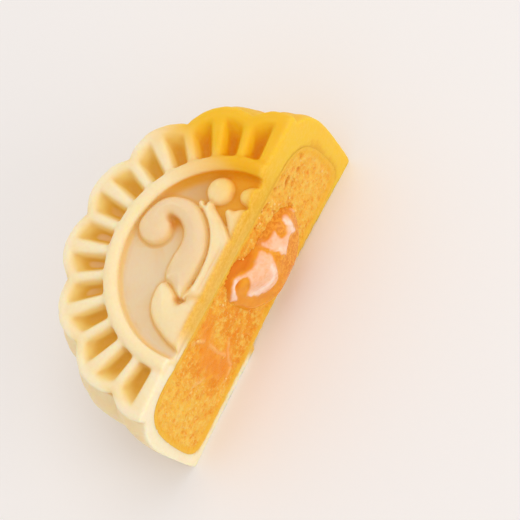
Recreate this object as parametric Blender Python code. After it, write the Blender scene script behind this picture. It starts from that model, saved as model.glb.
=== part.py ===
# Half of a small moulded mooncake with a runny centre, cut through the middle and lying on its base.
# Units are metres and +Z is up. The sizes below are written in millimetres and turned to metres by MM.
import math

import bmesh
import bpy
from mathutils import Vector, noise

MM = 0.001

# Driving sizes of the whole cake, in millimetres
HEIGHT = 22.0
CUT_Y = -1.2
GAP = 0.3
SOLE_RADIUS = 24.9
BULGE_RADIUS = 25.7
SPREAD = 0.7

# Petals round the rim, each with two slots and three ribs
PETALS = 14
PETAL_HALF_ANGLE = math.pi / PETALS
PETAL_CENTRE = 16.6
PETAL_PEAK = 23.6
RIM_DROP = 0.9
RIM_WIDTH = 1.25
RIB_WIDTH = 1.15
SLOT_DEPTH = 2.3
SLOT_FLOOR_LIFT = 0.35
NOTCH_DEPTH = 0.78

# Ring and sunk picture field in the middle
RING_OUTER = 16.0
RING_INNER = 14.3
FIELD_RADIUS = 13.8
FIELD_DEPTH = 2.0
RELIEF_RISE = 1.05

# Filling and runny centre
FILLING_TOP = 17.75
FILLING_TILT = -0.06
FILLING_BOTTOM = 1.7
FILLING_RADIUS = 23.4
FILLING_CENTRE_X = -0.45
CRUMB_RELIEF = 0.32
LAVA_CREST = (4.6, 7.6)
LAVA_DEPTH = 8.0
LAVA_PROUD = 2.8

# How far the cutting blocks reach past the cake
BLOCK_REACH = 40.0

# The half is placed by the middle of the box round it
FRAME_SHIFT_X = -SPREAD / 2
FRAME_SHIFT_Y = -(BULGE_RADIUS + CUT_Y - LAVA_PROUD) / 2

# Colours of the three foods, as linear values
SKIN_COLOUR = (0.86, 0.66, 0.30, 1.0)
CUSTARD_COLOUR = (0.85, 0.36, 0.05, 1.0)
LAVA_COLOUR = (0.82, 0.24, 0.03, 1.0)


def clear_scene():
    for thing in list(bpy.data.objects):
        bpy.data.objects.remove(thing, do_unlink=True)


def new_collection(name):
    collection = bpy.data.collections.new(name)
    bpy.context.scene.collection.children.link(collection)
    return collection


def make_material(name, colour, roughness, coat):
    material = bpy.data.materials.new(name)
    material.use_nodes = True
    shader = material.node_tree.nodes["Principled BSDF"]
    shader.inputs["Base Color"].default_value = colour
    shader.inputs["Roughness"].default_value = roughness
    shader.inputs["Metallic"].default_value = 0.0
    shader.inputs["Coat Weight"].default_value = coat
    return material


def add_object(name, mesh, collection, parent=None):
    thing = bpy.data.objects.new(name, mesh)
    collection.objects.link(thing)
    thing.parent = parent
    return thing


def mark_cutter(thing):
    thing.hide_render = True
    thing.display_type = "WIRE"


def point(x, y, z):
    return Vector((x * MM, y * MM, z * MM))


def loft(name, sections):
    """One closed body through level rings of points, bottom ring first, all with the same count."""
    shape = bmesh.new()
    rings = [[shape.verts.new(point(*corner)) for corner in section] for section in sections]
    count = len(rings[0])
    for lower, upper in zip(rings, rings[1:]):
        for i in range(count):
            j = (i + 1) % count
            shape.faces.new((lower[i], lower[j], upper[j], upper[i]))
    shape.faces.new(list(reversed(rings[0])))
    shape.faces.new(rings[-1])
    bmesh.ops.recalc_face_normals(shape, faces=shape.faces)
    mesh = bpy.data.meshes.new(name)
    shape.to_mesh(mesh)
    shape.free()
    return mesh


def add_boolean(thing, operation, operand):
    modifier = thing.modifiers.new(operation.lower(), "BOOLEAN")
    modifier.operation = operation
    modifier.solver = "EXACT"
    if isinstance(operand, bpy.types.Collection):
        modifier.operand_type = "COLLECTION"
        modifier.collection = operand
    else:
        modifier.object = operand
    return modifier


def box_mesh(name, low, high):
    shape = bmesh.new()
    bmesh.ops.create_cube(shape, size=1.0)
    for corner in shape.verts:
        corner.co = point(*(low[i] + (corner.co[i] + 0.5) * (high[i] - low[i]) for i in range(3)))
    mesh = bpy.data.meshes.new(name)
    shape.to_mesh(mesh)
    shape.free()
    return mesh


def cone_mesh(name, lower_radius, upper_radius, bottom, top, sides):
    shape = bmesh.new()
    bmesh.ops.create_cone(shape, cap_ends=True, segments=sides, radius1=lower_radius * MM,
                          radius2=upper_radius * MM, depth=(top - bottom) * MM)
    bmesh.ops.translate(shape, verts=shape.verts, vec=point(0, 0, (top + bottom) / 2))
    mesh = bpy.data.meshes.new(name)
    shape.to_mesh(mesh)
    shape.free()
    return mesh


# Outer form

def petal_wave(angle):
    """Runs from 1 at the middle of a petal to -1 at the notch between two, following the petal's arc."""
    offset = (angle + PETAL_HALF_ANGLE) % (2 * PETAL_HALF_ANGLE) - PETAL_HALF_ANGLE
    arc = PETAL_PEAK - PETAL_CENTRE

    def reach(a):
        return PETAL_CENTRE * math.cos(a) + math.sqrt(arc ** 2 - (PETAL_CENTRE * math.sin(a)) ** 2)

    notch = reach(PETAL_HALF_ANGLE)
    return 2 * (reach(offset) - notch) / (PETAL_PEAK - notch) - 1


# Height, radius at mid flute, depth of the flutes and share of the spread towards +X, from the sole up
WALL = (
    (0.0, SOLE_RADIUS, 0.0, 0.7),
    (0.7, SOLE_RADIUS + 0.3, 0.05, 0.9),
    (3.0, BULGE_RADIUS - 0.3, 0.1, 1.0),
    (7.0, BULGE_RADIUS - 0.1, 0.14, 1.0),
    (11.0, BULGE_RADIUS, 0.2, 1.0),
    (14.5, BULGE_RADIUS - 0.4, 0.35, 0.9),
    (17.2, BULGE_RADIUS - 1.35, 0.55, 0.9),
    (19.0, PETAL_PEAK - 0.73, 0.72, 0.8),
    (20.3, PETAL_PEAK - 0.68, NOTCH_DEPTH, 0.7),
    (20.9, PETAL_PEAK - 0.93, NOTCH_DEPTH, 0.6),
    (HEIGHT - RIM_DROP, PETAL_PEAK - 1.43, NOTCH_DEPTH, 0.5),
    (HEIGHT - RIM_DROP + 0.15, PETAL_PEAK - 2.28, NOTCH_DEPTH * 0.6, 0.3),
    (HEIGHT, RING_OUTER + 0.1, 0.0, 0.0),
)
WALL_STEPS_A_PETAL = 12


def wall_ring(z, radius, scallop, spread_share):
    """One level of the wall: fluted in step with the petals and settled outwards a little at the +X end."""
    count = PETALS * WALL_STEPS_A_PETAL
    ring = []
    for i in range(count):
        angle = 2 * math.pi * i / count
        settled = SPREAD * spread_share * max(0.0, math.cos(angle)) ** 2
        r = radius + scallop * petal_wave(angle) + settled
        ring.append((r * math.cos(angle), r * math.sin(angle), z))
    return ring


def body_mesh():
    """Barrel wall with fading flutes, a ledge under the petals, and a top that falls away to the rim."""
    return loft("body", [wall_ring(*level) for level in WALL])


# Slots between the ribs

# Height over the slot floor, then how far the side, ring and rim walls stand in from the opening
SLOT_LEVELS = (
    (0.0, 0.55, 0.35, 2.1),
    (SLOT_FLOOR_LIFT, 0.42, 0.25, 1.6),
    (SLOT_DEPTH - 0.75, 0.08, 0.05, 0.35),
    (SLOT_DEPTH + 0.4, -0.28, -0.22, -0.15),
)
SLOT_ARC_STEPS = 5
SLOT_END_STEPS = 2


def slot_outline(rise, side_inset, inner_inset, outer_inset, petal_angle, mirrored):
    """Ring of points round one slot, between the middle rib of a petal and the rib at its notch."""
    z = HEIGHT - SLOT_DEPTH + rise
    edge = RIB_WIDTH / 2 + side_inset
    inner = RING_OUTER + inner_inset
    outer = PETAL_PEAK - PETAL_CENTRE - RIM_WIDTH - outer_inset
    along = (math.cos(PETAL_HALF_ANGLE), math.sin(PETAL_HALF_ANGLE))
    across = (along[1], -along[0])

    def on_notch_rib(centre_x, radius):
        foot = (across[0] * edge - centre_x, across[1] * edge)
        half = foot[0] * along[0] + foot[1] * along[1]
        reach = -half + math.sqrt(half ** 2 - foot[0] ** 2 - foot[1] ** 2 + radius ** 2)
        return (foot[0] + centre_x + along[0] * reach, foot[1] + along[1] * reach)

    start_angle = math.asin(edge / outer)
    far = on_notch_rib(PETAL_CENTRE, outer)
    far_angle = math.atan2(far[1], far[0] - PETAL_CENTRE)
    near = on_notch_rib(0.0, inner)
    near_angle = math.atan2(near[1], near[0])
    home_angle = math.asin(edge / inner)
    outline = []
    for i in range(SLOT_ARC_STEPS + 1):
        a = start_angle + (far_angle - start_angle) * i / SLOT_ARC_STEPS
        outline.append((PETAL_CENTRE + outer * math.cos(a), outer * math.sin(a)))
    for i in range(SLOT_END_STEPS + 1):
        a = near_angle + (home_angle - near_angle) * i / SLOT_END_STEPS
        outline.append((inner * math.cos(a), inner * math.sin(a)))
    turned = []
    for x, y in outline:
        if mirrored:
            y = -y
        c, s = math.cos(petal_angle), math.sin(petal_angle)
        turned.append((x * c - y * s, x * s + y * c, z))
    return turned


def slot_cutter_mesh():
    """All the slots of the half as one mesh of separate drafted wedges."""
    joined = bmesh.new()
    for petal in range(PETALS // 2 + 1):
        angle = 2 * PETAL_HALF_ANGLE * petal
        for mirrored in (False, True):
            outlines = [slot_outline(*level, angle, mirrored) for level in SLOT_LEVELS]
            middle_y = sum(corner[1] for corner in outlines[0]) / len(outlines[0])
            if middle_y < 0:
                continue
            wedge = loft("wedge", outlines)
            joined.from_mesh(wedge)
            bpy.data.meshes.remove(wedge)
    mesh = bpy.data.meshes.new("slots")
    joined.to_mesh(mesh)
    joined.free()
    return mesh


# Raised scrolls and leaves in the sunk field, as outlines in plan

SCROLL = (
    (-5.7, 2.55), (-3.8, 2.25), (0.0, 2.1), (3.4, 2.95), (5.9, 4.9), (7.15, 7.1), (7.4, 9.8),
    (6.2, 12.5), (3.0, 13.95), (0.2, 13.0), (-0.75, 11.1), (0.1, 9.1), (2.2, 8.35), (3.6, 9.2),
    (4.35, 10.6), (4.55, 9.4), (4.0, 7.7), (2.6, 6.5), (-0.5, 6.1), (-4.2, 6.1),
)
LEAF = (
    (-13.3, -3.0), (-12.75, 1.2), (-11.5, 4.0), (-9.0, 5.8), (-6.6, 6.45), (-4.9, 6.1), (-4.75, 4.7),
    (-6.0, 2.9), (-6.9, 2.15), (-5.7, 1.0), (-5.0, -0.4), (-5.0, -3.0),
)
STEM = (
    (-4.9, -3.0), (-4.7, 0.0), (-5.4, 1.5), (-3.0, 1.5), (0.5, 1.6), (3.3, 2.3), (5.5, 3.9), (6.8, 5.6),
    (7.75, 6.6), (8.4, 6.0), (8.5, 5.2), (9.3, 4.6), (8.6, 3.7), (7.6, 3.6), (6.5, 1.8), (5.3, 0.1),
    (4.3, -1.3), (4.0, -3.0),
)
SPUR = (
    (4.6, -3.0), (4.7, -1.1), (5.8, 0.5), (7.3, 1.6), (8.15, 1.9), (8.6, 1.2), (8.85, 0.1), (9.1, -3.0),
)
BUD_CENTRE = (10.5, 4.3)
BUD_RADIUS = 2.05
LOBE_CENTRE = (11.0, -0.85)
LOBE_RADIUS = 1.95
BUD_CORNERS = 6
FIGURE_ROUNDING = 0.32
FIGURE_ROOT = 0.5


def raised_outline(name, outline, rise):
    """A flat closed line of smooth curve points, thickened and rounded at its edges, rooted in the field."""
    curve = bpy.data.curves.new(name, "CURVE")
    curve.dimensions = "2D"
    curve.fill_mode = "BOTH"
    curve.resolution_u = 3
    curve.bevel_resolution = 1
    curve.bevel_depth = FIGURE_ROUNDING * MM
    curve.offset = -FIGURE_ROUNDING * MM
    curve.extrude = ((rise + FIGURE_ROOT) / 2 - FIGURE_ROUNDING) * MM
    spline = curve.splines.new("BEZIER")
    spline.bezier_points.add(len(outline) - 1)
    for knot, (x, y) in zip(spline.bezier_points, outline):
        knot.co = point(x, y, 0)
        knot.handle_left_type = "AUTO"
        knot.handle_right_type = "AUTO"
    spline.use_cyclic_u = True
    return curve


def round_bud(name, centre, radius, rise):
    outline = []
    for i in range(BUD_CORNERS):
        a = 2 * math.pi * i / BUD_CORNERS
        outline.append((centre[0] + radius * math.cos(a), centre[1] + radius * math.sin(a)))
    return raised_outline(name, outline, rise)


def add_figures(collection, parent):
    """Each raised figure as a mesh object that starts a little below the sunk field."""
    root = HEIGHT - FIELD_DEPTH - FIGURE_ROOT
    curves = (
        raised_outline("scroll", SCROLL, RELIEF_RISE),
        raised_outline("leaf", LEAF, RELIEF_RISE - 0.1),
        raised_outline("stem", STEM, RELIEF_RISE),
        raised_outline("spur", SPUR, RELIEF_RISE - 0.15),
        round_bud("bud", BUD_CENTRE, BUD_RADIUS, RELIEF_RISE + 0.1),
        round_bud("lobe", LOBE_CENTRE, LOBE_RADIUS, RELIEF_RISE - 0.1),
    )
    for curve in curves:
        half_height = curve.extrude / MM + curve.bevel_depth / MM
        guide = add_object(curve.name + "_outline", curve, collection)
        bpy.context.view_layer.update()
        evaluated = guide.evaluated_get(bpy.context.evaluated_depsgraph_get())
        mesh = bpy.data.meshes.new_from_object(evaluated)
        shape = bmesh.new()
        shape.from_mesh(mesh)
        bmesh.ops.remove_doubles(shape, verts=shape.verts, dist=0.00001)
        bmesh.ops.recalc_face_normals(shape, faces=shape.faces)
        bmesh.ops.translate(shape, verts=shape.verts, vec=point(0, 0, root + half_height))
        shape.to_mesh(mesh)
        shape.free()
        bpy.data.objects.remove(guide, do_unlink=True)
        add_object(curve.name, mesh, collection, parent)
        bpy.data.curves.remove(curve)


# Filling

# Share of the filling's height and how far its side stands in from the full radius there
FILLING_PROFILE = (
    (0.0, 2.6),
    (0.03, 1.1),
    (0.14, 0.15),
    (0.4, 0.0),
    (0.62, 0.25),
    (0.8, 0.95),
    (0.92, 2.3),
    (0.985, 4.4),
    (1.0, 6.4),
)
FILLING_SIDES = 64


def filling_mesh(name, shrink):
    """Rounded bun of custard under the skin, a little lower towards +X, shrunk by a gap all round."""
    bottom = FILLING_BOTTOM + shrink
    top = FILLING_TOP - shrink
    sections = []
    for share, inset in FILLING_PROFILE:
        r = FILLING_RADIUS - shrink - inset
        ring = []
        for i in range(FILLING_SIDES):
            a = 2 * math.pi * i / FILLING_SIDES
            x = FILLING_CENTRE_X + r * math.cos(a)
            ring.append((x, r * math.sin(a), bottom + (top - bottom + FILLING_TILT * x) * share))
        sections.append(ring)
    return loft(name, sections)


# The broken face of the custard: a grainy relief with pits, roughest in the upper part towards +X
CRUMB_FACE_HALF_WIDTH = 27.0
CRUMB_FACE_TOP = 21.0
CRUMB_STEP = 0.95
CRUMB_GRAIN = 0.42
PIT_DEPTH = 0.6
PIT_DEPTH_ROUGH = 2.2
PIT_LEVEL = 0.28
ROUGH_FROM = (6.0, 11.0)


def crumb_depth(x, z):
    """How far the broken face of the custard lies behind the cut, in millimetres."""
    coarse = noise.fractal(Vector((x * CRUMB_GRAIN, z * CRUMB_GRAIN, 3.1)), 0.8, 2.1, 3)
    pits = max(0.0, noise.noise(Vector((x * 0.55, z * 0.7, 11.7))) - PIT_LEVEL)
    rough_x = min(1.0, max(0.0, (x - ROUGH_FROM[0]) / 6.0))
    rough_z = min(1.0, max(0.0, (z - ROUGH_FROM[1]) / 4.0))
    return CRUMB_RELIEF * coarse + (PIT_DEPTH + PIT_DEPTH_ROUGH * rough_x * rough_z) * pits


def crumb_cutter_mesh():
    """Block in front of the custard whose back face is the crumbly cut."""
    columns = round(2 * CRUMB_FACE_HALF_WIDTH / CRUMB_STEP)
    rows = round(CRUMB_FACE_TOP / CRUMB_STEP)
    shape = bmesh.new()
    bmesh.ops.create_grid(shape, x_segments=columns, y_segments=rows, size=0.5)
    for corner in shape.verts:
        x = corner.co.x * 2 * CRUMB_FACE_HALF_WIDTH
        z = (corner.co.y + 0.5) * CRUMB_FACE_TOP
        corner.co = point(x, CUT_Y + 0.1 + crumb_depth(x, z), z)
    front = bmesh.ops.extrude_face_region(shape, geom=shape.faces[:])["geom"]
    for corner in front:
        if isinstance(corner, bmesh.types.BMVert):
            corner.co.y = -BLOCK_REACH * MM
    bmesh.ops.recalc_face_normals(shape, faces=shape.faces)
    mesh = bpy.data.meshes.new("crumb_face")
    shape.to_mesh(mesh)
    shape.free()
    return mesh


# Runny centre

# Outline of the runny centre on the cut as x and z, with a tongue at the upper left
LAVA_OUTLINE = (
    (14.3, 9.6), (13.2, 11.8), (10.4, 13.5), (6.6, 13.9), (4.2, 15.0), (2.7, 16.8), (0.9, 17.3),
    (-1.0, 16.8), (-2.2, 15.0), (-2.6, 12.6), (-2.4, 9.8), (-1.6, 6.8), (0.6, 4.7), (4.0, 4.2),
    (7.8, 4.7), (11.0, 6.2), (13.4, 8.0),
)
LAVA_STEPS = 3
LAVA_BACK_ROWS = 6

# Share of the proud front and share of the outline round the crest there, from the cut outwards
LAVA_FRONT = ((0.1, 1.0), (0.33, 0.94), (0.58, 0.84), (0.8, 0.7), (0.95, 0.52), (0.99, 0.3))


def smooth_outline(corners, steps):
    """Closed line that passes smoothly through every corner."""
    line = []
    count = len(corners)
    for i in range(count):
        before, here, after, beyond = (Vector(corners[(i + k) % count]) for k in (-1, 0, 1, 2))
        for step in range(steps):
            t = step / steps
            line.append(0.5 * (2 * here + (after - before) * t
                               + (2 * before - 5 * here + 4 * after - beyond) * t ** 2
                               + (3 * here - before - 3 * after + beyond) * t ** 3))
    return line


def lava_mesh(name, grow):
    """A drop: a round back in the custard and a proud front that has slumped, so its crest lies low."""
    line = smooth_outline(LAVA_OUTLINE, LAVA_STEPS)
    crest = Vector(LAVA_CREST)
    levels = []
    for row in range(1, LAVA_BACK_ROWS + 1):
        tilt = math.pi / 2 * row / LAVA_BACK_ROWS
        levels.append(((LAVA_DEPTH + grow) * math.cos(tilt), math.sin(tilt)))
    for depth, share in LAVA_FRONT:
        levels.append((-(LAVA_PROUD + grow) * depth, share))
    shape = bmesh.new()
    rings = []
    for depth, share in levels:
        ring = []
        for corner in line:
            reach = corner - crest
            reach *= (1 + grow / reach.length) * share
            ring.append(shape.verts.new(point(crest.x + reach.x, CUT_Y + depth, crest.y + reach.y)))
        rings.append(ring)
    back = shape.verts.new(point(crest.x, CUT_Y + LAVA_DEPTH + grow, crest.y))
    front = shape.verts.new(point(crest.x, CUT_Y - LAVA_PROUD - grow, crest.y))
    for i in range(len(line)):
        j = (i + 1) % len(line)
        shape.faces.new((back, rings[0][j], rings[0][i]))
        shape.faces.new((front, rings[-1][i], rings[-1][j]))
        for far, near in zip(rings, rings[1:]):
            shape.faces.new((near[i], far[i], far[j], near[j]))
    bmesh.ops.recalc_face_normals(shape, faces=shape.faces)
    mesh = bpy.data.meshes.new(name)
    shape.to_mesh(mesh)
    shape.free()
    return mesh


def build():
    clear_scene()
    cake = new_collection("mooncake")
    cutters = new_collection("cutters")
    frame = bpy.data.objects.new("cake_middle", None)
    frame.location = point(FRAME_SHIFT_X, FRAME_SHIFT_Y, 0)
    cake.objects.link(frame)

    field = cone_mesh("field_cut", FIELD_RADIUS, RING_INNER + 0.35, HEIGHT - FIELD_DEPTH, HEIGHT + 0.5, 72)
    field_cut = add_object("field_cut", field, cutters, frame)
    slot_cut = add_object("slot_cut", slot_cutter_mesh(), cutters, frame)
    room_cut = add_object("filling_room", filling_mesh("filling_room", 0.0), cutters, frame)
    half_block = box_mesh("half_cut", (-BLOCK_REACH, -BLOCK_REACH, -5), (BLOCK_REACH, CUT_Y, BLOCK_REACH))
    half_cut = add_object("half_cut", half_block, cutters, frame)
    crumb_cut = add_object("crumb_cut", crumb_cutter_mesh(), cutters, frame)
    lava_room = add_object("lava_room", lava_mesh("lava_room", GAP), cutters, frame)
    for cutter in (field_cut, slot_cut, room_cut, half_cut, crumb_cut, lava_room):
        mark_cutter(cutter)

    figures = new_collection("figures")
    add_figures(figures, frame)

    skin = add_object("skin", body_mesh(), cake, frame)
    skin.data.materials.append(make_material("dough_skin", SKIN_COLOUR, 0.45, 0.1))
    add_boolean(skin, "DIFFERENCE", field_cut)
    add_boolean(skin, "DIFFERENCE", slot_cut)
    add_boolean(skin, "UNION", figures)
    bpy.context.view_layer.update()
    evaluated = skin.evaluated_get(bpy.context.evaluated_depsgraph_get())
    moulded = bpy.data.meshes.new_from_object(evaluated)
    skin.modifiers.clear()
    skin.data = moulded
    for figure in list(figures.objects):
        bpy.data.objects.remove(figure, do_unlink=True)
    bpy.data.collections.remove(figures)
    add_boolean(skin, "DIFFERENCE", room_cut)
    add_boolean(skin, "DIFFERENCE", half_cut)

    custard = add_object("custard", filling_mesh("custard", GAP), cake, frame)
    custard.data.materials.append(make_material("custard_filling", CUSTARD_COLOUR, 0.6, 0.0))
    add_boolean(custard, "DIFFERENCE", lava_room)
    add_boolean(custard, "DIFFERENCE", crumb_cut)

    lava = add_object("lava", lava_mesh("lava", 0.0), cake, frame)
    lava.data.materials.append(make_material("runny_centre", LAVA_COLOUR, 0.12, 0.8))
    lava.data.shade_smooth()


build()
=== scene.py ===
# %% [markdown]
# # Half a custard mooncake
#
# The real thing is a small moulded cake: soft golden dough pressed in a mould, a grainy custard filling,
# and a runny centre that wells out where the knife went through. Every shape here is drawn in millimetres
# round the middle of the whole cake, because those are the numbers a baker would measure. A finished piece
# is then made 1000 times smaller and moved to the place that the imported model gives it.

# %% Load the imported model
import math

import bpy
import numpy as np
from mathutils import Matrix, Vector, noise


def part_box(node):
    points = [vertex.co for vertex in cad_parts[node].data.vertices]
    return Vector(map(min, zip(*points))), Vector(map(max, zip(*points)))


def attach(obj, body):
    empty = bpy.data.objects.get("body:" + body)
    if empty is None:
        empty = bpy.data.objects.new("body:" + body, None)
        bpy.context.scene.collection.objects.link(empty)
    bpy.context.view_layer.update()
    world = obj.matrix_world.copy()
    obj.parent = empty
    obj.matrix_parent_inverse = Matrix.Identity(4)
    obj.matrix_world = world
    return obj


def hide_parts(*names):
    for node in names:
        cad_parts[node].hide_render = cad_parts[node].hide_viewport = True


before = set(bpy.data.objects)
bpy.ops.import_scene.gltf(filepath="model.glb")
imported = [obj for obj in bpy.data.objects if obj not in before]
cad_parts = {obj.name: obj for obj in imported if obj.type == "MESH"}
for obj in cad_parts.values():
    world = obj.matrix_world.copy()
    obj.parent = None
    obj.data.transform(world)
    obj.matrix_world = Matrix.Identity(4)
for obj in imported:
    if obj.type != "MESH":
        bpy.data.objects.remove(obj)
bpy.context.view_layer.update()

print("packed nodes:", sorted(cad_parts))

# %% [markdown]
# ## Where the cake lies
#
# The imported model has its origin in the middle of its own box, and not in the middle of the round cake. The
# cake's middle lies a little to -X of it, by half of what the wall settled outwards at the +X end. Along Y it
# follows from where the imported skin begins, because that is the cut, a plane that faces -Y.

# %% Cake sizes
MM = 0.001
CUT_Y = -1.2
HEIGHT = 22.0
PETALS = 14
PETAL_HALF_ANGLE = math.pi / PETALS
PETAL_CENTRE = 16.6
PETAL_PEAK = 23.6
RIM_WIDTH = 1.25
RIB_WIDTH = 1.12
RING_MIDDLE = 15.15
FIELD_Z = 20.0
FIELD_EDGE = 14.1
SETTLED = 0.7

skin_low, skin_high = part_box("skin")
MIDDLE = (-SETTLED / 2, round(skin_low[1] / MM - CUT_Y, 2))
print("skin spans", [round((b - a) / MM, 1) for a, b in zip(skin_low, skin_high)], "mm")
print("the cake's middle lies at", MIDDLE, "mm")

# %% [markdown]
# ## Small helpers for working as by hand
#
# Blender's operators act on whatever is selected, so each step first clears the selection and then takes
# only the piece it works on. Modifiers are applied at once, so that the next step sees a plain mesh.

# %% Selection and modifier helpers
def put_down():
    if bpy.context.object and bpy.context.object.mode != "OBJECT":
        bpy.ops.object.mode_set(mode="OBJECT")
    bpy.ops.object.select_all(action="DESELECT")


def take(*things):
    put_down()
    for thing in things:
        thing.select_set(True)
    bpy.context.view_layer.objects.active = things[0]


def edit_all():
    bpy.ops.object.mode_set(mode="EDIT")
    bpy.ops.mesh.select_all(action="SELECT")


def turn_outward():
    """Make every face point outwards, and leave edit mode."""
    bpy.ops.mesh.select_all(action="SELECT")
    bpy.ops.mesh.normals_make_consistent(inside=False)
    bpy.ops.object.mode_set(mode="OBJECT")


def corners_of(thing):
    flat = np.empty(len(thing.data.vertices) * 3)
    thing.data.vertices.foreach_get("co", flat)
    return flat.reshape(-1, 3)


def set_corners(thing, corners):
    thing.data.vertices.foreach_set("co", corners.astype(np.float32).ravel())
    thing.data.update()


def shape_with(thing, kind, **settings):
    take(thing)
    modifier = thing.modifiers.new(kind.lower(), kind)
    for key, value in settings.items():
        setattr(modifier, key, value)
    bpy.ops.object.modifier_apply(modifier=modifier.name)


def cut_away(thing, cutter, keep_cutter=False, operation="DIFFERENCE", crossing=False):
    """Take the cutter's shape out of a thing. Crossing is for a thing whose own parts run into each other."""
    shape_with(thing, "BOOLEAN", operation=operation, solver="EXACT", object=cutter, use_self=crossing)
    if not keep_cutter:
        bpy.data.objects.remove(cutter, do_unlink=True)


def weld(first, *others):
    take(first, *others)
    bpy.ops.object.join()
    return first


def triangles_of(thing):
    return sum(len(face.vertices) - 2 for face in thing.data.polygons)


# %% [markdown]
# ## Drawing a round body up ring by ring
#
# The cake's body, the filling and the sunk field are all round, so one helper serves them. It starts from a
# flat disc and extrudes it upward, resizing it at each step, the way a potter pulls up a wall.

# %% Round bodies
def smooth_rows(rows, steps):
    """More rows between the given ones, on a curve that passes through them all."""
    rows = np.array(rows)
    padded = np.vstack([2 * rows[0] - rows[1], rows, 2 * rows[-1] - rows[-2]])
    smooth = []
    for a, b, c, d in zip(padded, padded[1:], padded[2:], padded[3:]):
        for step in range(steps):
            t = step / steps
            smooth.append(0.5 * (2 * b + (c - a) * t + (2 * a - 5 * b + 4 * c - d) * t ** 2
                                 + (3 * b - a - 3 * c + d) * t ** 3))
    smooth.append(rows[-1])
    return np.array(smooth)


def closed_line(knots, steps):
    """A smooth closed line through the knots."""
    return smooth_rows(knots + knots[:1], steps)[:-1]


def draw_up(name, rows, sides):
    """A closed round body through rows of height and radius."""
    put_down()
    bpy.ops.mesh.primitive_circle_add(vertices=sides, radius=rows[0][1], fill_type="NGON",
                                      location=(0, 0, rows[0][0]))
    body = bpy.context.object
    body.name = name
    bpy.ops.object.transform_apply(location=True, rotation=False, scale=False)
    edit_all()
    for (low, before), (high, after) in zip(rows, rows[1:]):
        bpy.ops.mesh.extrude_region_move(TRANSFORM_OT_translate={"value": (0, 0, high - low)})
        grow = after / before
        bpy.ops.transform.resize(value=(grow, grow, 1), center_override=(0, 0, high))
    turn_outward()
    return body


# %% [markdown]
# ## The pressed body
#
# The wall is a low barrel. Fourteen petals flute it in step with the rim and fade towards the sole. The
# barrel is drawn up as a plain round body first, and then each of its corners is moved out or in along the
# petal's arc. The dough settled a little outwards at the +X end, as soft dough does.

# %% Petal arc and wall rows
def petal_wave(angle):
    """1 at the middle of a petal and -1 at the notch between two, along the petal's own arc."""
    offset = (angle + PETAL_HALF_ANGLE) % (2 * PETAL_HALF_ANGLE) - PETAL_HALF_ANGLE
    arc = PETAL_PEAK - PETAL_CENTRE

    def reach(a):
        return PETAL_CENTRE * np.cos(a) + np.sqrt(arc ** 2 - (PETAL_CENTRE * np.sin(a)) ** 2)

    notch = reach(PETAL_HALF_ANGLE)
    return 2 * (reach(offset) - notch) / (PETAL_PEAK - notch) - 1


# height, radius half way between notch and petal, depth of the flutes, share of the settling
WALL = smooth_rows((
    (0.0, 24.75, 0.0, 0.8),
    (0.25, 25.05, 0.0, 0.9),
    (1.0, 25.25, 0.03, 1.0),
    (3.0, 25.4, 0.08, 1.0),
    (7.0, 25.54, 0.2, 1.0),
    (11.0, 25.56, 0.34, 1.0),
    (14.5, 25.16, 0.58, 0.9),
    (17.2, 24.2, 0.72, 0.9),
    (18.75, 22.95, 0.76, 0.8),
    (19.35, 22.6, 0.8, 0.75),
    (20.3, 22.95, 0.78, 0.7),
    (20.85, 22.8, 0.78, 0.6),
    (21.1, 22.3, 0.76, 0.5),
    (21.2, 21.5, 0.5, 0.4),
    (21.5, 16.2, 0.0, 0.0),
), 3)
print("wall rows:", len(WALL))

# %% Barrel with its flutes
barrel = draw_up("skin", WALL[:, :2], PETALS * 24)
corners = corners_of(barrel)
angles = np.arctan2(corners[:, 1], corners[:, 0])
radii = np.hypot(corners[:, 0], corners[:, 1])
flute = np.interp(corners[:, 2], WALL[:, 0], WALL[:, 2]) * petal_wave(angles)
settled = SETTLED * np.interp(corners[:, 2], WALL[:, 0], WALL[:, 3]) * np.maximum(0, np.cos(angles)) ** 2
corners[:, 0] += (flute + settled) * np.cos(angles)
corners[:, 1] += (flute + settled) * np.sin(angles)
set_corners(barrel, corners)
print("barrel radius at the bulge:", round(float(radii.max()), 2))

# %% [markdown]
# ## The slots between the ribs
#
# Each petal holds two slots, with a rib between them and a rib at each notch. A slot is deep and steep at
# the ring and runs up in a curve to the rim. One slot is modelled as a round bar drawn down in steps, whose
# rings are then laid on the slot's outline at that depth. The others are copies, mirrored or turned.

# %% One slot
# height, and how far the outline at that height keeps from the ribs, the ring and the rim
SLOT_DEPTHS = (
    (22.6, -0.42, -0.36, -0.45),
    (21.75, -0.26, -0.2, -0.3),
    (21.3, -0.06, -0.06, -0.1),
    (21.0, 0.12, 0.03, 0.15),
    (20.7, 0.31, 0.1, 0.5),
    (20.35, 0.52, 0.17, 1.0),
    (20.05, 0.68, 0.27, 1.6),
    (19.82, 0.81, 0.42, 2.2),
    (19.68, 0.93, 0.62, 2.8),
)
ARC_POINTS = 12
END_POINTS = 6
RING_TO_SLOT = 1.05


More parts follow.
